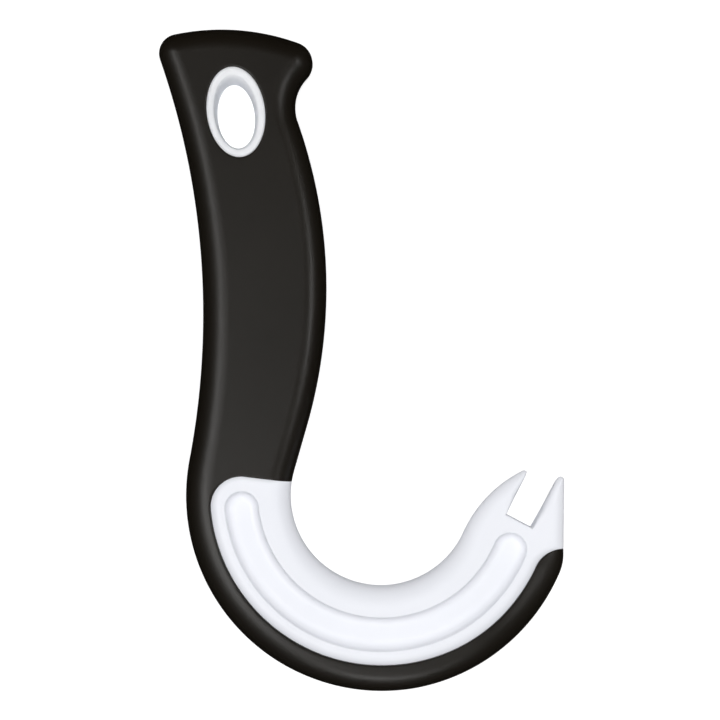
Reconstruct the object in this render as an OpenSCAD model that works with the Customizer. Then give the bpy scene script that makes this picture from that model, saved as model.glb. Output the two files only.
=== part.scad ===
// Ring-pull can opener. A stiff white core forms the hook, the two-tine fork, the
// hanging eyelet and a tang; a soft black grip is moulded around the tang and the heel.
// The opener lies on its back face: X across, Y along the handle, Z through the thickness.
// Every outline is a closed chain of rounds, walked counter-clockwise.

/* [Body] */
// Thickness of the opener, face to face
thickness = 12; // [11:0.5:14]
// Rounding of the long edges between the faces and the side wall
edge_r = 4; // [3:0.1:4.2]

/* [Hook] */
// Radius of the outer curve of the heel
heel_r = 45.65; // [44.5:0.05:46.5]
// Radius of the inner curve, the mouth of the hook
mouth_r = 21.15; // [20.5:0.05:21.8]
// Radius of the line where the white core meets the black heel
border_r = 39.82; // [39.2:0.02:40.4]
// Height of the hook's centre above the middle of the opener
hook_y = -31.7; // [-32:0.1:-31.5]

/* [Fork] */
// Width of the notch
notch_w = 6.9; // [5.5:0.1:7.3]
// Direction in which the notch opens, in degrees from X
notch_angle = 62.5; // [60:0.5:65]
// Thickness of the fork at the notch's root
root_thickness = 6.2; // [5:0.1:8]
// Thickness of the tines at their tips
tip_thickness = 4.6; // [3.5:0.1:4.8]

/* [Crescent recess] */
// Inner radius of the recess in each face of the hook
recess_in_r = 28.7; // [28:0.1:30]
// Outer radius of the recess
recess_out_r = 36.6; // [35.5:0.1:37]
// Depth of the recess
recess_depth = 1.7; // [0.5:0.1:1.8]

/* [Handle] */
// Radius of the handle's right side
right_r = 116.4; // [115:0.1:118]
// Radius of the hollow in the handle's left side
left_r = 182; // [172:1:195]
// Radius of the finger hollow below the flared end
neck_r = 10; // [9:0.5:12]

/* [Eyelet] */
// Half the length of the hole
hole_a = 7.62; // [6.9:0.02:8.2]
// Half the width of the hole
hole_b = 4.42; // [3.8:0.02:5]
// Half the length of the white ring around the hole
ring_a = 10.52; // [10.2:0.02:10.8]
// Half the width of the white ring
ring_b = 6.75; // [6.55:0.05:6.95]
// Lean of the eyelet, in degrees from Y
eyelet_lean = 7.3; // [2:0.1:10]

/* [Inside the grip] */
// Thickness of the tang
tang_t = 5; // [4:0.5:6]
// Rubber on each side of the tang
tang_inset = 8; // [7:0.5:9]
// Diameter of the holes that the rubber flows through
window_d = 7; // [5:0.5:8]
// Distance from one hole to the next
window_pitch = 14; // [12:0.5:15]
// Reach of the rim tongue into the heel's rubber
tongue_reach = 2.2; // [1.5:0.1:2.5]
// Thickness of the rim tongue
tongue_t = 3; // [2:0.5:3]

/* [Hidden] */

chord_error = 0.03;   // largest gap between a drawn chord and its true arc
edge_steps = 5;       // rings in each quarter round
past = 1;             // how far a cutter passes the face it cuts
mid_z = thickness / 2;

// Places of the rounds
hook_c = [4.4, hook_y];
face_c = hook_c + [0.2, 0.84];       // centre of the border line and the recess
side_x = 47.2;                       // right side of the fork
blend_r = 6;                         // heel into the right side
blend_c = [side_x - blend_r,
           hook_y - sqrt(pow(heel_r - blend_r, 2) - pow(side_x - blend_r - hook_c.x, 2))];
right_tip_r = 0.9;
right_tip_c = [46.5, -28.2];
tine_back_r = 30;
tine_back_c = hook_c + (mouth_r + tine_back_r) * ray(-24.3);
left_tip_r = 0.8;
left_tip_c = tine_back_c + (tine_back_r - left_tip_r) * ray(116.5);
right_c = [-8.36 - right_r, 16.88];
flare_r = 4.9;
flare_c = [-16.5, 69.5];
neck_c = meet(flare_c, flare_r + neck_r, right_c, right_r + neck_r);
corner_r = 4.52;
corner_c = [-42.97, 71.7];
top_r = 52.9;
top_c = meet(flare_c, top_r - flare_r, corner_c, top_r - corner_r);
left_c = meet(hook_c, left_r + heel_r, corner_c, left_r + corner_r);

// Line where the white hook meets the black handle: a radius from the border's centre,
// rounded into the border of the heel
head_top_angle = 173.1;
head_corner_r = 7;
head_corner_c = face_c + (border_r - head_corner_r)
    * ray(head_top_angle + asin(head_corner_r / (border_r - head_corner_r)));
head_top = face_c + crossing(face_c, ray(head_top_angle), hook_c, mouth_r)
    * ray(head_top_angle);

// End of the black heel: a round that leaves the border and runs out at the side wall
black_end_r = 6.7;
black_end_c = face_c + (border_r + black_end_r) * ray(-25.35);
black_end_in = black_end_c + black_end_r * ray(127);
black_end = [side_x, black_end_c.y + black_end_r];

// A chain's entries are rounds: centre, radius (negative where it is hollow), and the
// edge rounding at its start and end; or corners: point, 0, edge rounding, and the way
// the corner moves as its edge is set back by 1
MARGIN_END = [black_end, 0, edge_r, set_back(black_end, black_end_in, 0)];
MARGIN_TOP = [head_top, 0, edge_r, set_back(head_top, head_corner_c - head_corner_r
    * ray(head_top_angle + 90), bearing(hook_c - head_top))];

// The head's first side runs round the heel to the right tine's tip
HEAD = [
    [head_corner_c, head_corner_r, 0, 0],
    [face_c, border_r, 0, 0],
    [black_end_c, -black_end_r, 0, 0],
    [black_end_in, 0, 0, [0, 0]],
    MARGIN_END,
    [right_tip_c, right_tip_r, 0, 0],
    [left_tip_c, left_tip_r, 0, 0],
    [tine_back_c, tine_back_r, 0, edge_r],
    [hook_c, -mouth_r, edge_r, edge_r],
    MARGIN_TOP
];
head_side = 6;

// The rubber's first side runs down the handle's left and round the heel
RUBBER = [
    [corner_c, corner_r, edge_r, edge_r],
    [left_c, -left_r, edge_r, edge_r],
    [hook_c, heel_r, edge_r, edge_r],
    [blend_c, blend_r, edge_r, edge_r],
    MARGIN_END,
    [black_end_in, 0, 0, [0, 0]],
    [black_end_c, black_end_r, 0, 0],
    [face_c, -border_r, 0, 0],
    [head_corner_c, -head_corner_r, 0, 0],
    MARGIN_TOP,
    [hook_c, -mouth_r, edge_r, edge_r],
    [right_c, right_r, edge_r, edge_r],
    [neck_c, -neck_r, edge_r, edge_r],
    [flare_c, flare_r, edge_r, edge_r],
    [top_c, top_r, edge_r, edge_r]
];
rubber_side = 5;

recess_r = (recess_in_r + recess_out_r) / 2;
recess_end_r = (recess_out_r - recess_in_r) / 2;
RECESS = [
    [face_c, recess_out_r],
    [face_c + recess_r * ray(-23.9), recess_end_r],
    [face_c, -recess_in_r],
    [face_c + recess_r * ray(186), recess_end_r]
];

TANG = [
    [right_c, right_r - tang_inset],
    [[-24, 58], 0],
    [[-34, 58], 0],
    [left_c, -left_r - tang_inset],
    [[-32, -36], 0],
    [[-20, -36], 0]
];

TONGUE = [
    [face_c, border_r + tongue_reach],
    [face_c + (border_r + tongue_reach - 1) * ray(-38), 1],
    [face_c, -border_r + 2],
    [face_c + (border_r + tongue_reach - 1) * ray(192), 1]
];

notch_root = [36.63, -37.6];
notch_cut = 20;         // how far the notch's cutter reaches, beyond the tips

// The ramp that thins the fork, along a line through the notch's root
ramp_angle = 52;
ramp_start = -30;       // where it leaves the face
ramp_end = 2;           // where the fork has its root's thickness
ramp_tip = 14;          // the tines' tips
ramp_side = 28;         // how far it reaches to each side of that line
ramp_steps = 8;
ramp_past = 8;          // how far its cutter passes the tips
face_back = 70;         // how far the recess's floor reaches, flat, behind the ramp
face_side = 90;         // and to each side

ring_c = [-29.22, 57.49];
hole_c = [-29.55, 57.1];
window_y0 = -8;
windows = 4;

// Unit vector at an angle
function ray(a) = [cos(a), sin(a)];

// Angle of a vector
function bearing(v) = atan2(v.y, v.x);

// Point at distance p from a and distance q from b, on the left of the way from a to b
function meet(a, p, b, q) =
    let (d = norm(b - a), u = (b - a) / d, along = (p * p - q * q + d * d) / (2 * d))
    a + along * u + sqrt(p * p - along * along) * [-u.y, u.x];

// How far from a, in direction u, the circle about c with radius r is crossed
function crossing(a, u, c, r) =
    let (along = (c - a) * u) along + sqrt(r * r - (c - a) * (c - a) + along * along);

// Direction of the outward normal where round s passes into round t
function join(s, t) =
    let (v = t[0] - s[0], k = (s[1] - t[1]) / norm(v))
    bearing(v) - acos(max(-1, min(1, k)));

// An angle brought to within a turn after a given one
function after(a, from) = a + 360 * ceil((from - a - 0.01) / 360);

// How corner p moves per unit of set-back of the edge whose outward normal is at angle a,
// when it slides along the line towards q
function set_back(p, q, a) = (p - q) / ((q - p) * ray(a));

// Normal angles at which one round is drawn, in the order of the walk
function stations(r, a0, a1) =
    r == 0 ? [a0] :
    let (end = r > 0 ? after(a1, a0) : a1,
         start = r > 0 ? a0 : after(a0, a1),
         steps = max(1, ceil(abs(end - start) / (2 * acos(1 - chord_error / abs(r))))))
    [for (i = [0 : steps]) start + (end - start) * i / steps];

// Walk of a chain: [point, set-back direction, edge rounding, entry] at each station
function walk(chain) = [
    for (i = [0 : len(chain) - 1])
        let (n = len(chain),
             c = chain[i],
             angles = stations(c[1], join(chain[(i + n - 1) % n], c), join(c, chain[(i + 1) % n])),
             last = max(1, len(angles) - 1))
        for (k = [0 : len(angles) - 1])
            c[1] == 0 ? [c[0], c[3], c[2], i] :
            [c[0] + c[1] * ray(angles[k]), -ray(angles[k]),
             len(c) > 2 ? c[2] + (c[3] - c[2]) * k / last : 0, i]
];

// The same walk without the points that repeat the one before
function distinct(w) = [
    for (i = [0 : len(w) - 1])
        if (norm(w[i][0] - w[(i + len(w) - 1) % len(w)][0]) > 0.02) w[i]
];

function outline(chain) = [for (s = distinct(walk(chain))) s[0]];

module slab(chain, z0, z1) {
    translate([0, 0, z0]) linear_extrude(height = z1 - z0) polygon(outline(chain));
}

// Triangles across a strip: its first side is p[0 .. m - 1], and the rest of p walks back
function across(p, m, i, j) =
    i == m - 1 && j == m ? [] :
    j == m || (i < m - 1 && norm(p[i + 1] - p[j]) < norm(p[i] - p[j - 1]))
        ? concat([[i, i + 1, j]], across(p, m, i + 1, j))
        : concat([[i, j - 1, j]], across(p, m, i, j - 1));

// A solid between the two faces, with the chain's outline and quarter-round edges. The
// chain's first entries, as many as side says, are one long side of the strip.
// Ring 0 bounds the back face; the rings climb the rounded edge, the side wall and the
// other rounded edge to the front face. Where the edge is not rounded they coincide.
module rounded_slab(chain, side) {
    w = distinct(walk(chain));
    n = len(w);
    m = len([for (s = w) if (s[3] < side) 1]);
    last = 2 * edge_steps + 1;
    points = [
        for (j = [0 : last]) for (s = w)
            let (t = 90 * min(j, last - j) / edge_steps,
                 p = s[0] + s[2] * (1 - sin(t)) * s[1],
                 rise = s[2] * (1 - cos(t)))
            [p.x, p.y, j <= edge_steps ? rise : thickness - rise]
    ];
    function at(j, k) =
        let (i = k % n)
        w[i][2] > 0 ? j * n + i : j <= edge_steps ? i : last * n + i;
    face = across(points, m, 0, n - 1);
    quads = [for (j = [0 : last - 1]) for (k = [0 : n - 1])
        [at(j, k), at(j + 1, k), at(j + 1, k + 1), at(j, k + 1)]];
    polyhedron(points, concat(
        face,
        [for (f = face) [at(last, f[2]), at(last, f[1]), at(last, f[0])]],
        [for (q = quads) if (q[0] != q[1]) [q[0], q[1], q[3]]],
        [for (q = quads) if (q[2] != q[3]) [q[1], q[2], q[3]]]));
}

module eyelet_oval(c, a, b, z0, z1) {
    translate([c.x, c.y, z0])
    rotate(eyelet_lean)
    linear_extrude(height = z1 - z0)
    polygon([for (t = [0 : 6 : 354]) [b * cos(t), a * sin(t)]]);
}

module eyelet_boss() {
    eyelet_oval(ring_c, ring_a, ring_b, 0, thickness);
}

// Middle of the handle at a given height
function handle_mid(y) = (
    left_c.x + sqrt(pow(left_r, 2) - pow(y - left_c.y, 2)) +
    right_c.x + sqrt(pow(right_r, 2) - pow(y - right_c.y, 2))) / 2;

module tang() {
    difference() {
        slab(TANG, mid_z - tang_t / 2, mid_z + tang_t / 2);
        for (i = [0 : windows - 1])
            let (y = window_y0 + i * window_pitch)
            translate([handle_mid(y), y, 0]) cylinder(d = window_d, h = thickness, $fn = 48);
    }
}

module rim_tongue() {
    slab(TONGUE, mid_z - tongue_t / 2, mid_z + tongue_t / 2);
}

module notch() {
    translate([notch_root.x, notch_root.y, -past])
    rotate(notch_angle - 90)
    translate([-notch_w / 2, 0, 0])
    cube([notch_w, notch_cut, thickness + 2 * past]);
}

// Height above the middle plane of a face that the ramp thins, u of the way down the ramp
function ramp_height(u) = mid_z - (mid_z - root_thickness / 2) * u * u * (3 - 2 * u);

// Room above the front face's profile and below the back face's, both lowered by drop.
// The profile runs flat for back before the ramp; the room reaches side to each side.
module beyond_faces(drop, back, side) {
    profile = [for (i = [0 : ramp_steps])
        [ramp_start + (ramp_end - ramp_start) * i / ramp_steps,
         ramp_height(i / ramp_steps) - drop]];
    far = ramp_tip + ramp_past;
    translate([notch_root.x, notch_root.y, mid_z])
    rotate([90, 0, ramp_angle])
    for (face = [0, 1]) mirror([0, face, 0])
        linear_extrude(height = 2 * side, center = true)
        polygon(concat(
            back > 0 ? [[ramp_start - back, mid_z - drop]] : [],
            profile,
            [[ramp_tip, tip_thickness / 2 - drop],
             [far, tip_thickness / 2 - drop],
             [far, mid_z + past],
             [ramp_start - back, mid_z + past]]));
}

module ramps() {
    beyond_faces(0, 0, ramp_side);
}

// Crescents of even depth below the faces
module recesses() {
    intersection() {
        slab(RECESS, -past, thickness + past);
        beyond_faces(recess_depth, face_back, face_side);
    }
}

// Stiff white core: hook head with fork and recesses, tang, rim tongue and eyelet
module hook_core() {
    color("white") difference() {
        union() {
            rounded_slab(HEAD, head_side);
            tang();
            rim_tongue();
            eyelet_boss();
        }
        recesses();
        notch();
        ramps();
        eyelet_oval(hole_c, hole_a, hole_b, -past, thickness + past);
    }
}

// Soft black grip: handle and heel strip in one moulding, keyed through the tang
module grip() {
    color([0.12, 0.12, 0.115]) difference() {
        rounded_slab(RUBBER, rubber_side);
        tang();
        rim_tongue();
        eyelet_boss();
        ramps();
    }
}

hook_core();
grip();
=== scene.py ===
"""Looks of the ring-pull can opener: a satin white core with an eyelet ring, and a
matt black rubber grip. Outlines are chains of rounds in millimetres, in the same frame
as the CAD source, and become metres when a mesh is made."""

import math

import bpy
import numpy as np
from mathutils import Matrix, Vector
from mathutils.geometry import delaunay_2d_cdt


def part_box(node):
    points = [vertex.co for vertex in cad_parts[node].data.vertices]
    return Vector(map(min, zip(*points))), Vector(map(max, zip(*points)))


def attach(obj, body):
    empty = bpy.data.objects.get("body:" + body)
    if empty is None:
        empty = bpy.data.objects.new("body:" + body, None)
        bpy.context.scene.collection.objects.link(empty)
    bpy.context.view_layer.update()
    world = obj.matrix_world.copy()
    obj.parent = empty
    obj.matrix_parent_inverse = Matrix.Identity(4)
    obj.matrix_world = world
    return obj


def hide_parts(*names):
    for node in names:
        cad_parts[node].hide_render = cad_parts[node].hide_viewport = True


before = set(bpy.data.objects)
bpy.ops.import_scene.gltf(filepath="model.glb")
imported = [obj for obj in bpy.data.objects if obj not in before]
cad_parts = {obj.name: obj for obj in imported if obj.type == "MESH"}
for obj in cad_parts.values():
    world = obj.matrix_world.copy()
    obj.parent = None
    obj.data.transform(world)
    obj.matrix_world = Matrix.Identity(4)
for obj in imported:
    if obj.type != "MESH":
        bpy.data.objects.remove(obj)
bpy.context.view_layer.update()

MM = 0.001
GRIP_LOW, GRIP_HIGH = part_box("grip")
HALF_T = (GRIP_HIGH.z - GRIP_LOW.z) / MM / 2  # half the thickness
MID_Z = (GRIP_HIGH.z + GRIP_LOW.z) / MM / 2  # height of the middle plane
SAME_POINT = 0.01  # points closer than this count as one
TINY = 1e-6  # stands in for zero in divisions

# ---------------------------------------------------------------- rounds and chains


def ray(angle):
    """Unit vector at an angle in degrees."""
    return np.array([math.cos(math.radians(angle)), math.sin(math.radians(angle))])


def bearing(v):
    """Angle of a vector in degrees."""
    return math.degrees(math.atan2(v[1], v[0]))


def meet(a, p, b, q):
    """Point at distance p from a and q from b, on the left of the way from a to b."""
    d = np.linalg.norm(b - a)
    u = (b - a) / d
    along = (p * p - q * q + d * d) / (2 * d)
    return a + along * u + math.sqrt(p * p - along * along) * np.array([-u[1], u[0]])


def reach(a, u, c, r):
    """How far from a, in direction u, the circle about c with radius r is crossed."""
    along = np.dot(c - a, u)
    return along + math.sqrt(r * r - np.dot(c - a, c - a) + along * along)


def join(s, t):
    """Outward normal, in degrees, of the line that leaves round s and reaches round t."""
    v = t[0] - s[0]
    k = (s[1] - t[1]) / np.linalg.norm(v)
    return bearing(v) - math.degrees(math.acos(max(-1, min(1, k))))


SPACING = 0.6  # between stations on an edge
TURN = 9.0  # largest turn between stations, in degrees
FULL_TURN = 359.9  # a turn beyond this is rounding error about no turn


def spread(widths, share):
    """Width at a share of the way along evenly spread widths."""
    at = np.linspace(0, 1, len(widths))
    return float(np.interp(share, at, widths))


def walk(chain, spacing=SPACING):
    """Stations of an open chain: x, y, outward normal, edge width, and edge kind.

    A chain's entry is centre, radius (0 for a corner, negative for a hollow), edge widths
    spread evenly along it, kind of its edge, and kind of the straight line after it."""
    rows = []
    ends = [join(chain[i], chain[i + 1]) for i in range(len(chain) - 1)]
    for i, (c, r, widths, kind, then) in enumerate(chain):
        if 0 < i < len(chain) - 1:
            a0, a1 = ends[i - 1], ends[i]
            turn = (a1 - a0) % 360 if r > 0 else -((a0 - a1) % 360)
            if r == 0:
                turn = (a1 - a0 + 180) % 360 - 180
            if r != 0 and abs(turn) > FULL_TURN:
                turn = 0
            arc = math.radians(abs(turn)) * abs(r)
            steps = max(1, math.ceil(arc / spacing), math.ceil(abs(turn) / TURN))
            if r == 0 and turn > 0:
                steps = 1
            for k in range(steps + 1):
                a = a0 + turn * k / steps
                p = c + r * ray(a)
                rows.append((*p, a, spread(widths, k / steps), kind))
        if i < len(chain) - 1:
            a = ends[i]
            after = chain[i + 1]
            start, stop = c + r * ray(a), after[0] + after[1] * ray(a)
            length = np.linalg.norm(stop - start)
            if length > SAME_POINT:
                steps = max(1, math.ceil(length / spacing))
                for k in range(steps + 1):
                    p = start + (stop - start) * k / steps
                    rows.append((*p, a, spread((widths[-1], after[2][0]), k / steps), then))
    return rows


# ---------------------------------------------------------------- outlines

SIDE, NOTCH, SEAM, OVAL = "side", "notch", "seam", "oval"

# Widths of the rounding along the edges
EDGE = 5.0
WIDE_EDGE = 6.3  # on the handle's left and the heel
MOUTH_EDGE = 4.2  # where the hook's inner curve reaches the fork
TINE_EDGE = 3.4  # on the back of the left tine
SIDE_EDGE = 3.6  # on the fork's right side
TIP_EDGE = 2.7  # round the tips of the tines
NOTCH_EDGE = 0.3

HOOK = np.array([4.4, -31.7])  # centre of the hook's inner and outer curves
HEEL_R, MOUTH_R = 45.65, 21.15
FACE = np.array([4.6, -30.86])  # centre of the seam and the recess
BORDER_R = 39.82

# Fork: its right side, the round up into that side from the heel, and its tines
SIDE_X = 47.2
BLEND_R = 11.0
BLEND_X = SIDE_X - BLEND_R
BLEND_Y = HOOK[1] - math.sqrt((HEEL_R - BLEND_R) ** 2 - (BLEND_X - HOOK[0]) ** 2)
BLEND = np.array([BLEND_X, BLEND_Y])
RIGHT_TIP_R = 0.9
RIGHT_TIP = np.array([46.5, -28.2])
TINE_BACK_R, TINE_BACK_ANGLE = 30.0, -24.3
TINE_BACK = HOOK + (MOUTH_R + TINE_BACK_R) * ray(TINE_BACK_ANGLE)
LEFT_TIP_R, LEFT_TIP_ANGLE = 0.8, 116.5
LEFT_TIP = TINE_BACK + (TINE_BACK_R - LEFT_TIP_R) * ray(LEFT_TIP_ANGLE)

# Handle: right side, flare at its upper right, neck below that, upper left corner, top
# edge and left side
RIGHT_R = 116.4
RIGHT_X = -8.36  # right side of the handle at its widest
RIGHT = np.array([RIGHT_X - RIGHT_R, 16.88])
FLARE_R = 4.9
FLARE = np.array([-16.5, 69.5])
NECK_R = 10.0
NECK = meet(FLARE, FLARE_R + NECK_R, RIGHT, RIGHT_R + NECK_R)
CORNER_R = 4.52
CORNER = np.array([-42.97, 71.7])
TOP_R = 52.9
TOP = meet(FLARE, TOP_R - FLARE_R, CORNER, TOP_R - CORNER_R)
LEFT_R = 182.0
LEFT = meet(HOOK, LEFT_R + HEEL_R, CORNER, LEFT_R + CORNER_R)

# White head's top edge, its rounded corner, and the black strip's end
HEAD_TOP_ANGLE = 173.1
HEAD_CORNER_R = 7.0
HEAD_CORNER_REACH = BORDER_R - HEAD_CORNER_R
HEAD_CORNER = FACE + HEAD_CORNER_REACH * ray(
    HEAD_TOP_ANGLE + math.degrees(math.asin(HEAD_CORNER_R / HEAD_CORNER_REACH))
)
HEAD_TOP = FACE + reach(FACE, ray(HEAD_TOP_ANGLE), HOOK, MOUTH_R) * ray(HEAD_TOP_ANGLE)
BLACK_END_R, BLACK_END_ANGLE = 6.7, -25.35
BLACK_END = FACE + (BORDER_R + BLACK_END_R) * ray(BLACK_END_ANGLE)
END = np.array([SIDE_X, BLACK_END[1] + BLACK_END_R])

NOTCH_ROOT = np.array([36.63, -37.6])
NOTCH_ANGLE = 62.5
NOTCH_W = 6.9
NOTCH_UP, NOTCH_ACROSS = ray(NOTCH_ANGLE), ray(NOTCH_ANGLE - 90)
TIP_CORNER_R = 0.3  # corner between the left tip and the notch's wall
TIP_CORNER_UP = np.dot(LEFT_TIP - NOTCH_ROOT, NOTCH_UP) + LEFT_TIP_R - TIP_CORNER_R
TIP_CORNER_SIDE = NOTCH_W / 2 + TIP_CORNER_R
TIP_CORNER = NOTCH_ROOT + TIP_CORNER_UP * NOTCH_UP - TIP_CORNER_SIDE * NOTCH_ACROSS

# Widths of the white rim's slope down to the seam
SHOULDER = 2.2
TOP_SHOULDER = 1.0  # along the head's top edge
END_SHOULDER = 1.2  # at the black strip's end

SEAM_CHAIN = [
    (HEAD_TOP, 0, (0, TOP_SHOULDER), SEAM, SEAM),
    (HEAD_CORNER, HEAD_CORNER_R, (TOP_SHOULDER, SHOULDER), SEAM, SEAM),
    (FACE, BORDER_R, (SHOULDER,), SEAM, SEAM),
    (BLACK_END, -BLACK_END_R, (SHOULDER, END_SHOULDER), SEAM, SEAM),
    (END, 0, (END_SHOULDER, 0), SEAM, SEAM),
]
HEAD_CHAIN = [
    (END, 0, (EDGE, SIDE_EDGE), SIDE, SIDE),
    (RIGHT_TIP, RIGHT_TIP_R, (TIP_EDGE,), SIDE, NOTCH),
    (NOTCH_ROOT + NOTCH_W / 2 * NOTCH_ACROSS, 0, (NOTCH_EDGE,), NOTCH, NOTCH),
    (NOTCH_ROOT - NOTCH_W / 2 * NOTCH_ACROSS, 0, (NOTCH_EDGE,), NOTCH, NOTCH),
    (TIP_CORNER, TIP_CORNER_R, (TIP_EDGE,), SIDE, SIDE),
    (LEFT_TIP, LEFT_TIP_R, (TIP_EDGE,), SIDE, SIDE),
    (TINE_BACK, TINE_BACK_R, (TIP_EDGE, TINE_EDGE, MOUTH_EDGE), SIDE, SIDE),
    (HOOK, -MOUTH_R, (MOUTH_EDGE, EDGE, EDGE, EDGE), SIDE, SIDE),
    (HEAD_TOP, 0, (EDGE,), SIDE, SIDE),
]
GRIP_CHAIN = [
    (HEAD_TOP, 0, (EDGE,), SIDE, SIDE),
    (HOOK, -MOUTH_R, (EDGE,), SIDE, SIDE),
    (RIGHT, RIGHT_R, (EDGE,), SIDE, SIDE),
    (NECK, -NECK_R, (EDGE,), SIDE, SIDE),
    (FLARE, FLARE_R, (EDGE,), SIDE, SIDE),
    (TOP, TOP_R, (EDGE,), SIDE, SIDE),
    (CORNER, CORNER_R, (EDGE,), SIDE, SIDE),
    (LEFT, -LEFT_R, (EDGE, WIDE_EDGE, WIDE_EDGE), SIDE, SIDE),
    (HOOK, HEEL_R, (WIDE_EDGE, WIDE_EDGE, EDGE, WIDE_EDGE), SIDE, SIDE),
    (BLEND, BLEND_R, (WIDE_EDGE, EDGE), SIDE, SIDE),
    (END, 0, (EDGE,), SIDE, SIDE),
]

RECESS_IN_R, RECESS_OUT_R = 28.7, 36.6
RECESS_MID_R = (RECESS_IN_R + RECESS_OUT_R) / 2
RECESS_END_R = (RECESS_OUT_R - RECESS_IN_R) / 2
RECESS_A0, RECESS_A1 = 186.0, 336.1  # its ends, in degrees about FACE
RECESS_SPACING = 0.48  # between stations on its outline
RECESS_DEPTH = 1.7
RECESS_FILLET = 2.4  # radius of the hollow between its wall and its floor
RECESS_REACH = math.sqrt(RECESS_FILLET**2 - (RECESS_FILLET - RECESS_DEPTH) ** 2)
RECESS_LIP, RECESS_LIP_DROP = 0.3, 0.1  # width and fall of its softened edge

EYELET_LEAN = 7.3  # degrees from upright
RING = np.array([-29.22, 57.49])  # middle of the ring's outer oval
RING_A, RING_B = 10.52, 6.75  # half its length and width
HOLE = np.array([-29.55, 57.1])  # middle of the hole where it is narrowest
HOLE_DRIFT = np.array([0.35, 0.2])  # how far its middle moves up to each face
HOLE_A, HOLE_B = 7.62, 4.42  # half its length and width there
HOLE_FLARE_A, HOLE_FLARE_B = 1.15, 0.7  # how much wider it is at the faces


def recess_stations():
    """Stations of the closed outline of the crescent recess."""
    rows = []
    parts = [
        (FACE, RECESS_OUT_R, RECESS_A0, RECESS_A1),
        (FACE + RECESS_MID_R * ray(RECESS_A1), RECESS_END_R, RECESS_A1, RECESS_A1 + 180),
        (FACE, -RECESS_IN_R, RECESS_A1 + 180, RECESS_A0 + 180),
        (FACE + RECESS_MID_R * ray(RECESS_A0), RECESS_END_R, RECESS_A0 - 180, RECESS_A0),
    ]
    for c, r, a0, a1 in parts:
        steps = math.ceil(math.radians(abs(a1 - a0)) * abs(r) / RECESS_SPACING)
        for k in range(steps):
            a = a0 + (a1 - a0) * k / steps
            rows.append((*(c + r * ray(a)), a, 0.0, OVAL))
    return rows


OVAL_POINTS = 120


def oval(middle, a, b):
    """Points of an oval that leans as the eyelet does."""
    lean = math.radians(EYELET_LEAN)
    t = np.arange(OVAL_POINTS) * 2 * math.pi / OVAL_POINTS
    x, y = b * np.cos(t), a * np.sin(t)
    return middle + np.stack(
        [x * math.cos(lean) - y * math.sin(lean), x * math.sin(lean) + y * math.cos(lean)],
        axis=1,
    )


# ---------------------------------------------------------------- distances

CHUNK = 1500  # points handled at a time
LEVEL = 1e-12  # stands in for no rise between two points


def segments(rows, kind, closed=False):
    """Start, end, and edge widths of the segments of one kind."""
    made = []
    pairs = zip(rows, rows[1:] + rows[:1]) if closed else zip(rows, rows[1:])
    for s, t in pairs:
        if s[4] == kind and t[4] == kind and math.dist(s[:2], t[:2]) > TINY:
            made.append((s[0], s[1], t[0], t[1], s[3], t[3]))
    return np.array(made)


def nearest(points, segs):
    """Distance from each point to the nearest segment, and the edge width there."""
    a, b = segs[:, 0:2], segs[:, 2:4]
    ab = b - a
    length2 = (ab**2).sum(1)
    dist, width = np.empty(len(points)), np.empty(len(points))
    for i in range(0, len(points), CHUNK):
        p = points[i : i + CHUNK, None, :]
        t = np.clip(((p - a) * ab).sum(2) / length2, 0, 1)
        gap = p - a - t[:, :, None] * ab
        d2 = (gap**2).sum(2)
        j = d2.argmin(1)
        row = np.arange(len(j))
        dist[i : i + CHUNK] = np.sqrt(d2[row, j])
        width[i : i + CHUNK] = segs[j, 4] + (segs[j, 5] - segs[j, 4]) * t[row, j]
    return dist, width


def inside(points, loop):
    """True for each point within a closed loop."""
    x0, y0 = loop[:, 0], loop[:, 1]
    x1, y1 = np.roll(x0, -1), np.roll(y0, -1)
    found = np.zeros(len(points), bool)
    rise = np.where(np.abs(y1 - y0) < LEVEL, LEVEL, y1 - y0)
    for i in range(0, len(points), CHUNK):
        p = points[i : i + CHUNK]
        py = p[:, 1, None]
        crosses = (y0 > py) != (y1 > py)
        at = x0 + (py - y0) * (x1 - x0) / rise
        found[i : i + CHUNK] = (crosses & (p[:, 0, None] < at)).sum(1) % 2 == 1
    return found


# ---------------------------------------------------------------- heights


def ellipse_drop(d, width, depth):
    """Fall of a quarter-ellipse edge at distance d from the wall."""
    e = np.clip(d / np.maximum(width, TINY), 0, 1)
    return depth * (1 - np.sqrt(1 - (1 - e) ** 2))


def slope_drop(d, width, depth):
    """Fall of a shoulder that steepens towards its foot."""
    return depth * (1 - np.clip(d / np.maximum(width, TINY), 0, 1)) ** 2


RAMP_AXIS = ray(52)  # way in which the fork gets thinner
RAMP_START, RAMP_END, RAMP_TIP = -30.0, 2.0, 14.0  # along it, from the notch's root
RAMP_SIDE = 28.0  # how far it reaches to each side of that line
ROOT_HALF_T, TIP_HALF_T = 3.1, 2.3  # half the thickness at the notch's root and tips
WALL_SHARE = 0.95  # of the half thickness that an edge's rounding may take
NOTCH_WALL_SHARE = 0.45  # the same at the notch


def top_of(points):
    """Half the thickness between the faces: full, then an S-shaped ramp down to the
    fork's root, then a straight one to its tips."""
    along = (points - NOTCH_ROOT) @ RAMP_AXIS
    beside = abs((points - NOTCH_ROOT) @ ray(bearing(RAMP_AXIS) - 90))
    along = np.where(beside < RAMP_SIDE, along, RAMP_START)
    u = np.clip((along - RAMP_START) / (RAMP_END - RAMP_START), 0, 1)
    v = np.clip((along - RAMP_END) / (RAMP_TIP - RAMP_END), 0, 1)
    ramp = (HALF_T - ROOT_HALF_T) * u * u * (3 - 2 * u)
    return HALF_T - ramp - (ROOT_HALF_T - TIP_HALF_T) * v


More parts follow.
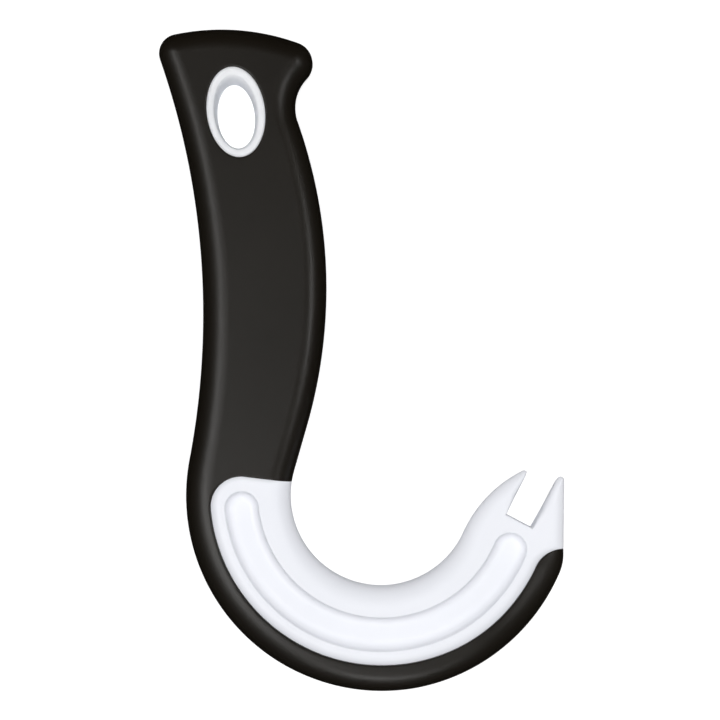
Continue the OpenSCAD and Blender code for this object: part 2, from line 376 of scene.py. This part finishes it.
SEAM_DROP_WHITE = 0.9  # how far the white face falls to the seam
LEAST_DROP = 0.5  # share of it left where the shoulder is narrow
SEAM_DROP_BLACK = 0.4  # how far the black face falls to the seam and to the ring
SEAM_LIP_BLACK = 0.35  # over which width


def head_height(points):
    """Half the thickness of the white head."""
    top = top_of(points)
    d, w = nearest(points, SIDE_SEGS)
    side = ellipse_drop(d, w, np.minimum(w, top * WALL_SHARE))
    d, w = nearest(points, NOTCH_SEGS)
    notch = ellipse_drop(d, w, np.minimum(w, top * NOTCH_WALL_SHARE))
    d, w = nearest(points, SEAM_SEGS)
    seam = slope_drop(d, w, SEAM_DROP_WHITE * np.clip(w / SHOULDER, LEAST_DROP, 1))
    height = top - np.sqrt(side**2 + notch**2 + seam**2)
    d, _ = nearest(points, RECESS_SEGS)
    within = inside(points, RECESS_LOOP)
    lip = slope_drop(d, np.full(len(d), RECESS_LIP), RECESS_LIP_DROP)
    left = np.clip(RECESS_REACH - d, 0, None)
    bowl = RECESS_DEPTH - RECESS_FILLET + np.sqrt(RECESS_FILLET**2 - left**2)
    return height - np.where(within, RECESS_LIP_DROP + bowl, lip)


def grip_height(points):
    """Half the thickness of the black grip."""
    top = top_of(points)
    d, w = nearest(points, SIDE_SEGS)
    side = ellipse_drop(d, w, np.minimum(w, top * WALL_SHARE))
    d, _ = nearest(points, SEAM_SEGS)
    seam = ellipse_drop(d, np.full(len(d), SEAM_LIP_BLACK), SEAM_DROP_BLACK)
    d, _ = nearest(points, OVAL_SEGS)
    ring = ellipse_drop(d, np.full(len(d), SEAM_LIP_BLACK), SEAM_DROP_BLACK)
    return top - np.sqrt(side**2 + seam**2 + ring**2)


# ---------------------------------------------------------------- stations in use

SEAM_STEP = 0.04  # between the stations that the seam's are picked from
SEAM_LAST = 0.02  # the last station but one is dropped if it is nearer than this


def thinned_seam():
    """The seam's stations, close together where the long edges round off."""
    rows = walk(SEAM_CHAIN, SEAM_STEP)
    points = np.array([r[:2] for r in rows])
    d, w = nearest(points, SIDE_SEGS)
    theta = np.degrees(np.arccos(np.clip(1 - d / w, 0, 1)))
    kept, last = [], 0
    for i, row in enumerate(rows):
        far = math.dist(points[i], points[last]) >= SPACING
        steep = abs(theta[i] - theta[last]) >= TURN
        if i in (0, len(rows) - 1) or far or steep:
            at_end = i == len(rows) - 1
            if kept and at_end and math.dist(points[i], points[last]) < SEAM_LAST:
                kept.pop()
            kept.append(row)
            last = i
    return kept


HEAD_ROWS = walk(HEAD_CHAIN)
GRIP_ROWS = walk(GRIP_CHAIN)
SIDE_SEGS = np.concatenate([segments(HEAD_ROWS, SIDE), segments(GRIP_ROWS, SIDE)])
NOTCH_SEGS = segments(HEAD_ROWS, NOTCH)
SEAM_ROWS = thinned_seam()
SEAM_SEGS = segments(SEAM_ROWS, SEAM)
RECESS_ROWS = recess_stations()
RECESS_LOOP = np.array([r[:2] for r in RECESS_ROWS])
RECESS_SEGS = segments(RECESS_ROWS, OVAL, closed=True)
OVAL_LOOP = oval(RING, RING_A, RING_B)
OVAL_ROWS = [(*p, 0.0, 0.0, OVAL) for p in OVAL_LOOP]
OVAL_SEGS = segments(OVAL_ROWS, OVAL, closed=True)


def loop_of(*row_lists):
    """Closed loop of points from lists of stations, without repeated points."""
    points = [r[:2] for rows in row_lists for r in rows]
    return np.array(
        [p for i, p in enumerate(points) if math.dist(p, points[i - 1]) > SAME_POINT]
    )


HEAD_LOOP = loop_of(HEAD_ROWS, SEAM_ROWS)
GRIP_LOOP = loop_of(GRIP_ROWS, SEAM_ROWS[::-1])

# ---------------------------------------------------------------- meshes

CLEAR_SHARE, CLEAR_SLACK = 0.97, 0.005  # how near another edge a set-back point may be


def set_backs(rows, kind, shares, segs, sign=-1):
    """Points set back from the edge by shares of its width, unless another is nearer.

    sign is -1 for points within the outline and 1 for points outside it."""
    base = [r for r in rows if r[4] == kind]
    made = []
    for share in shares:
        p = np.array([np.array(r[:2]) + sign * share * r[3] * ray(r[2]) for r in base])
        want = np.array([share * r[3] for r in base])
        d, _ = nearest(p, segs)
        made.append(p[d > CLEAR_SHARE * want - CLEAR_SLACK])
    return np.concatenate(made)


def widened(rows, width):
    """The same stations with one edge width."""
    return [(*r[:3], width, r[4]) for r in rows]


SIEVE_CELL = 0.6  # no less than the widest gap asked of a sieve


class Sieve:
    """Keeps points that are not too close to the ones kept before."""

    def __init__(self):
        self.cells, self.points = {}, []

    def cell(self, p):
        """Square of the plane that a point is filed under."""
        return int(p[0] // SIEVE_CELL), int(p[1] // SIEVE_CELL)

    def near(self, p, gap):
        """True if a kept point is closer than gap."""
        i, j = self.cell(p)
        for u in (i - 1, i, i + 1):
            for v in (j - 1, j, j + 1):
                for q in self.cells.get((u, v), ()):
                    if (p[0] - q[0]) ** 2 + (p[1] - q[1]) ** 2 < gap * gap:
                        return True
        return False

    def add(self, points, gap):
        """Keep the points that no kept point is closer to than gap."""
        for p in points:
            if gap == 0 or not self.near(p, gap):
                self.cells.setdefault(self.cell(p), []).append(p)
                self.points.append(p)


def grid(low, high, step):
    """Points of a triangular grid over a box."""
    made = []
    row = step * math.sqrt(3) / 2
    for j in range(int((high[1] - low[1]) / row) + 1):
        for i in range(int((high[0] - low[0]) / step) + 1):
            made.append((low[0] + (i + 0.5 * (j % 2)) * step, low[1] + j * row))
    return np.array(made)


def in_scene(name, data):
    """New object of the scene."""
    thing = bpy.data.objects.new(name, data)
    bpy.context.scene.collection.objects.link(thing)
    return thing


MERGE = 1e-7  # distance at which the triangulation merges points
SLIVER = 2e-4  # twice the area of the largest triangle that is only rounding error


def plate(name, loops, lines, points, height, sharp):
    """Closed solid with the same relief on both faces.

    loops are the closed edges of the solid, the outer one first; lines are closed loops
    that the faces' triangles follow; points are lists of points that fill the faces,
    each with the least gap between them and the least distance from the edges; height
    gives half the thickness at a point; sharp says which edge points belong to a seam."""
    sieve = Sieve()
    edges = []
    for loop in [*loops, *lines]:
        start = len(sieve.points)
        sieve.add(loop, 0)
        count = len(loop)
        edges += [(start + k, start + (k + 1) % count) for k in range(count)]
    rims = np.concatenate(
        [np.concatenate([l, np.roll(l, -1, 0), np.zeros((len(l), 2))], 1) for l in loops]
    )

    def within(spots):
        found = inside(spots, loops[0])
        for hole in loops[1:]:
            found &= ~inside(spots, hole)
        return found

    for more, gap, clear in points:
        more = more[within(more)]
        d, _ = nearest(more, rims)
        sieve.add(more[d > clear], gap)
    spots, _, found, origins, _, _ = delaunay_2d_cdt(
        [Vector(p) for p in sieve.points], edges, [], 0, MERGE
    )
    xy = np.array([(p.x, p.y) for p in spots])
    tris = np.array(found)
    tris = tris[within(xy[tris].mean(1))]
    a, b, c = xy[tris[:, 0]], xy[tris[:, 1]], xy[tris[:, 2]]
    (bx, by), (cx, cy) = (b - a).T, (c - a).T
    area = bx * cy - by * cx
    tris[area < 0] = tris[area < 0][:, ::-1]
    tris = tris[np.abs(area) > SLIVER]
    index = {old: new for new, olds in enumerate(origins) for old in olds}
    z = height(xy)
    n = len(xy)
    verts = np.concatenate(
        [np.column_stack([xy, MID_Z + z]), np.column_stack([xy, MID_Z - z])]
    )
    faces = [tuple(t) for t in tris] + [tuple(t[::-1] + n) for t in tris]
    start, crisp = 0, set()
    for k, loop in enumerate(loops):
        ids = [index[start + i] for i in range(len(loop))]
        for i, j in zip(ids, ids[1:] + ids[:1]):
            faces.append((i, i + n, j + n, j) if k == 0 else (i, j, j + n, i + n))
        crisp |= {i for i, p in zip(ids, loop) if sharp(p)}
        start += len(loop)
    mesh = bpy.data.meshes.new(name)
    mesh.from_pydata((verts * MM).tolist(), [], faces)
    mesh.validate()
    mesh.polygons.foreach_set("use_smooth", np.ones(len(mesh.polygons), bool))
    for e in mesh.edges:
        i, j = e.vertices
        if (i % n) in crisp and (j % n) in crisp:
            e.use_edge_sharp = True
    mesh.update()
    return in_scene(name, mesh)


# Where rows of points lie, as shares of the width that a rounding or slope takes
PAST = 1.08  # a row just past it
ROUND_STEPS = 10
ROUND_SHARES = [
    1 - math.cos(math.radians(90 * k / ROUND_STEPS)) for k in range(1, ROUND_STEPS + 1)
] + [PAST]
SHOULDER_SHARES = [0.06, 0.16, 0.3, 0.45, 0.6, 0.75, 0.9, 1.0, 1.15]
LIP_SHARES = [0.15, 0.45, 1.0, 1.6]
RECESS_LIP_SHARES = [0.35, 0.7, 1.0, 1.6]
NOTCH_SHARES = [0.06, 0.3, 0.65, 1.0, 1.5]
BOWL_STEPS = 8
GRID = 1.3  # step of the grid that fills the faces

# Least gap between points, and least distance from the edges
ROUND_GAPS = 0.03, 0.02
LIP_GAPS = 0.04, 0.04
RECESS_GAPS = 0.05, 0.1
NOTCH_GAPS = 0.1, 0.02
SHOULDER_GAPS = 0.1, 0.05
FILL_GAPS = 0.6, 0.3


def build_head():
    side = set_backs(HEAD_ROWS, SIDE, ROUND_SHARES, SIDE_SEGS)
    notch = set_backs(HEAD_ROWS, NOTCH, NOTCH_SHARES, NOTCH_SEGS)
    seam = set_backs(SEAM_ROWS, SEAM, SHOULDER_SHARES, SEAM_SEGS)
    lip_rows = widened(RECESS_ROWS, RECESS_LIP)
    lip = set_backs(lip_rows, OVAL, RECESS_LIP_SHARES, RECESS_SEGS, 1)
    turn = math.degrees(math.asin(RECESS_REACH / RECESS_FILLET))
    whole = math.sin(math.radians(turn))
    shares = [
        1 - math.sin(math.radians(turn * (1 - k / BOWL_STEPS))) / whole
        for k in range(1, BOWL_STEPS + 1)
    ] + [PAST]
    bowl = set_backs(widened(RECESS_ROWS, RECESS_REACH), OVAL, shares, RECESS_SEGS)
    fill = grid(HEAD_LOOP.min(0), HEAD_LOOP.max(0), GRID)
    return plate(
        "hook_core_shell",
        [HEAD_LOOP],
        [RECESS_LOOP],
        [
            (side, *ROUND_GAPS),
            (lip, *RECESS_GAPS),
            (bowl, *RECESS_GAPS),
            (notch, *NOTCH_GAPS),
            (seam, *SHOULDER_GAPS),
            (fill, *FILL_GAPS),
        ],
        head_height,
        is_seam,
    )


def build_grip():
    side = set_backs(GRIP_ROWS, SIDE, ROUND_SHARES, SIDE_SEGS)
    seam = set_backs(widened(SEAM_ROWS, SEAM_LIP_BLACK), SEAM, LIP_SHARES, SEAM_SEGS, 1)
    ring = np.concatenate(
        [
            oval(RING, RING_A + SEAM_LIP_BLACK * s, RING_B + SEAM_LIP_BLACK * s)
            for s in LIP_SHARES
        ]
    )
    fill = grid(GRIP_LOOP.min(0), GRIP_LOOP.max(0), GRID)
    return plate(
        "grip_shell",
        [GRIP_LOOP, OVAL_LOOP],
        [],
        [
            (side, *ROUND_GAPS),
            (seam, *LIP_GAPS),
            (ring, *LIP_GAPS),
            (fill, *FILL_GAPS),
        ],
        grip_height,
        lambda p: is_seam(p) or is_oval(p),
    )


def key(p):
    """A point's coordinates, rounded, to look it up by."""
    return round(p[0], 4), round(p[1], 4)


SEAM_KEYS = {key(r) for r in SEAM_ROWS}
OVAL_KEYS = {key(p) for p in OVAL_LOOP}


def is_seam(p):
    return key(p) in SEAM_KEYS


def is_oval(p):
    return key(p) in OVAL_KEYS


RING_ROUND = 0.7  # height of the rounding from the hole to the ring's face
RING_ROUND_SHARE = 0.35  # share of the hole's flare that it takes
RING_OUT, RING_OUT_DROP = 0.7, 0.4  # width and height of the outer rounding
FLARE_STEPS = 4  # up the flared hole
RING_STEPS = 6  # over each rounding


def build_ring():
    """Ring of the eyelet: ovals from the middle of the flared hole up over the ring's
    face to its outside, and the same below."""
    section = []  # share of the hole's flare or None, height, and set-out from the ring
    for k in range(FLARE_STEPS + 1):
        up = k / FLARE_STEPS
        section.append(((1 - RING_ROUND_SHARE) * up**2, (HALF_T - RING_ROUND) * up, 0))
    for k in range(1, RING_STEPS + 1):
        rest = 1 - math.sin(math.radians(90 * k / RING_STEPS))
        section.append((1 - RING_ROUND_SHARE * rest, HALF_T - RING_ROUND * rest, 0))
    for k in range(RING_STEPS + 1):
        t = math.radians(90 - 90 * k / RING_STEPS)
        z = HALF_T - RING_OUT_DROP * (1 - math.sin(t))
        section.append((None, z, -RING_OUT * (1 - math.cos(t))))
    section += [(u, -z, o) for u, z, o in section[:0:-1]]
    rings = []
    for share, z, out in section:
        if share is None:
            p = oval(RING, RING_A + out, RING_B + out)
        else:
            p = oval(
                HOLE + HOLE_DRIFT * share,
                HOLE_A + HOLE_FLARE_A * share,
                HOLE_B + HOLE_FLARE_B * share,
            )
        rings.append(np.column_stack([p, np.full(OVAL_POINTS, MID_Z + z)]))
    n, m = OVAL_POINTS, len(section)
    verts = np.concatenate(rings) * MM
    faces = []
    for j in range(m):
        for i in range(n):
            k, l = (i + 1) % n, (j + 1) % m
            faces.append((j * n + i, l * n + i, l * n + k, j * n + k))
    mesh = bpy.data.meshes.new("eyelet_ring")
    mesh.from_pydata(verts.tolist(), [], faces)
    mesh.polygons.foreach_set("use_smooth", np.ones(len(faces), bool))
    mesh.update()
    return in_scene("eyelet_ring", mesh)


# ---------------------------------------------------------------- materials

MOTTLE_SCALE = 28.0  # of the broad unevenness in colour and gloss
GRAIN_SHARE = 0.25  # how much of the fine grain is mixed into it
MOTTLE_LOW, MOTTLE_HIGH = 0.35, 0.9  # values of the mix for the two colours
BUMP_STRENGTH = 0.6
COAT_ROUGHNESS = 0.55
GLOW_DEPTH = 0.004  # how far light travels in translucent plastic


def set_inputs(node, values):
    """Set sockets of a node to constants."""
    for socket, value in values.items():
        node.inputs[socket].default_value = value


def shader(name):
    """New material and its shader node."""
    material = bpy.data.materials.new(name)
    material.use_nodes = True
    return material, material.node_tree.nodes["Principled BSDF"]


def moulded(name, dark, light, rough, grain, grain_scale, specular, coat=0.0, glow=0.0):
    """Moulded plastic: mottled colour between dark and light, gloss that varies over a
    range of roughness, and a fine spark-eroded grain of a depth in metres. A coat adds a
    broad sheen, and glow makes it translucent."""
    material, bsdf = shader(name)
    tree = material.node_tree

    def add(kind, inputs, **settings):
        """New node with links to sockets and constants on the others."""
        node = tree.nodes.new(kind)
        for setting, value in settings.items():
            setattr(node, setting, value)
        for socket, value in inputs.items():
            if isinstance(value, bpy.types.NodeSocket):
                tree.links.new(value, node.inputs[socket])
            else:
                node.inputs[socket].default_value = value
        return node

    where = add("ShaderNodeTexCoord", {}).outputs["Object"]
    broad = add(
        "ShaderNodeTexNoise", {"Vector": where, "Scale": MOTTLE_SCALE, "Detail": 3.0}
    ).outputs["Fac"]
    fine = add(
        "ShaderNodeTexNoise",
        {"Vector": where, "Scale": grain_scale, "Detail": 4.0, "Roughness": 0.6},
    ).outputs["Fac"]
    both = add(
        "ShaderNodeMath", {0: fine, 1: GRAIN_SHARE, 2: broad}, operation="MULTIPLY_ADD"
    ).outputs[0]
    colour = add("ShaderNodeValToRGB", {"Fac": both})
    ramp = colour.color_ramp
    ramp.elements[0].position, ramp.elements[0].color = MOTTLE_LOW, (*dark, 1)
    ramp.elements[1].position, ramp.elements[1].color = MOTTLE_HIGH, (*light, 1)
    gloss = add(
        "ShaderNodeMapRange",
        {
            "Value": both,
            "From Min": MOTTLE_LOW,
            "From Max": MOTTLE_HIGH,
            "To Min": rough[0],
            "To Max": rough[1],
        },
    ).outputs[0]
    bump = add(
        "ShaderNodeBump", {"Height": fine, "Strength": BUMP_STRENGTH, "Distance": grain}
    ).outputs[0]
    tree.links.new(colour.outputs[0], bsdf.inputs["Base Color"])
    tree.links.new(gloss, bsdf.inputs["Roughness"])
    tree.links.new(bump, bsdf.inputs["Normal"])
    set_inputs(
        bsdf,
        {
            "Specular IOR Level": specular,
            "Coat Weight": coat,
            "Coat Roughness": COAT_ROUGHNESS,
            "Subsurface Weight": glow,
            "Subsurface Radius": (1, 1, 1),
            "Subsurface Scale": GLOW_DEPTH,
        },
    )
    return material


white_finish = {
    "rough": (0.38, 0.46),
    "grain": 0.00001,
    "grain_scale": 2600.0,
    "specular": 0.35,
}
white = moulded("white_abs", (0.80, 0.815, 0.865), (0.84, 0.853, 0.90), **white_finish)
# Painted light: the eyelet ring is the head's white plastic painted lighter, so the walls
# of its hole look as brightly lit as the head's face; it is also made translucent.
ring_white_painted_light = moulded(
    "white_abs_ring_painted_light",
    (0.905, 0.93, 0.985),
    (0.93, 0.955, 0.995),
    **white_finish,
    glow=0.6,
)
black = moulded(
    "black_rubber",
    (0.0058, 0.0042, 0.0024),
    (0.0078, 0.0058, 0.0034),
    rough=(0.34, 0.40),
    grain=0.00003,
    grain_scale=3200.0,
    specular=0.35,
    coat=0.4,
)

head = build_head()
grip = build_grip()
ring = build_ring()
for piece, material, slot_name in (
    (head, white, "white_plastic"),
    (ring, ring_white_painted_light, "white_plastic"),
    (grip, black, "black_rubber"),
):
    piece.data.materials.append(material)
    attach(piece, "root")
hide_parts("hook_core")
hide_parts("grip")

# ---------------------------------------------------------------- stage

AIM = Vector((0, 0, 0))  # point that every lamp faces


def lamp(name, place, size, watts, matt=False):
    """Soft lamp seen only in the gloss, or with matt only in the matt part."""
    data = bpy.data.lights.new(name, "AREA")
    data.shape = "RECTANGLE"
    data.size, data.size_y = size
    data.energy = watts
    light = in_scene(name, data)
    light.location = place
    light.rotation_euler = (AIM - Vector(place)).to_track_quat("-Z", "Y").to_euler()
    light.visible_camera = False
    light.visible_glossy = not matt
    light.visible_diffuse = matt


FLOOR = 6.0  # half the floor's side
FLOOR_GREY = 0.5
FLOOR_GLOW = 0.72  # makes the floor as white as the photo's background
floor_mesh = bpy.data.meshes.new("floor")
floor_mesh.from_pydata(
    [(-FLOOR, -FLOOR, 0), (FLOOR, -FLOOR, 0), (FLOOR, FLOOR, 0), (-FLOOR, FLOOR, 0)],
    [],
    [(0, 1, 2, 3)],
)
floor = in_scene("floor", floor_mesh)
floor_material, floor_shader = shader("pale_floor")
set_inputs(
    floor_shader,
    {
        "Base Color": (FLOOR_GREY, FLOOR_GREY, FLOOR_GREY, 1),
        "Roughness": 0.9,
        "Specular IOR Level": 0.1,
        "Emission Color": (1, 1, 1, 1),
        "Emission Strength": FLOOR_GLOW,
    },
)
floor.data.materials.append(floor_material)
floor.visible_glossy = False

WORLD_LIGHT = 0.05
world = bpy.data.worlds.new("studio")
world.use_nodes = True
background = world.node_tree.nodes["Background"]
set_inputs(background, {"Color": (1, 1, 1, 1), "Strength": WORLD_LIGHT})
world.cycles_visibility.glossy = False
bpy.context.scene.world = world

# Name, place, size and power in watts
lamp("main_softbox", (0.0, 0.0, 1.0), (0.75, 0.75), 11.7, matt=True)
lamp("left_softbox", (-0.46, -0.02, 0.62), (0.3, 0.12), 0.72)
lamp("right_softbox", (0.46, 0.03, 0.62), (0.3, 0.12), 0.85)
lamp("low_softbox", (0.0, -0.55, 0.5), (0.18, 0.15), 0.8)
lamp("fill_softbox", (-0.37, -0.26, 0.86), (0.4, 0.4), 2.25)

CAMERA_X, CAMERA_Y = -0.00049, 0.00005  # straight above this point, looking down
CAMERA_HEIGHT = 0.43  # above the middle of the object
SHOWN = 0.16884  # metres across the picture at the middle of the object
SENSOR = 36.0
camera_data = bpy.data.cameras.new("camera")
camera_data.sensor_width = SENSOR
camera_data.lens = SENSOR * CAMERA_HEIGHT / SHOWN
camera_data.clip_start, camera_data.clip_end = 0.01, 50
camera = in_scene("camera", camera_data)
camera.location = (CAMERA_X, CAMERA_Y, MID_Z * MM + CAMERA_HEIGHT)
bpy.context.scene.camera = camera
bpy.context.scene.view_settings.view_transform = "Standard"
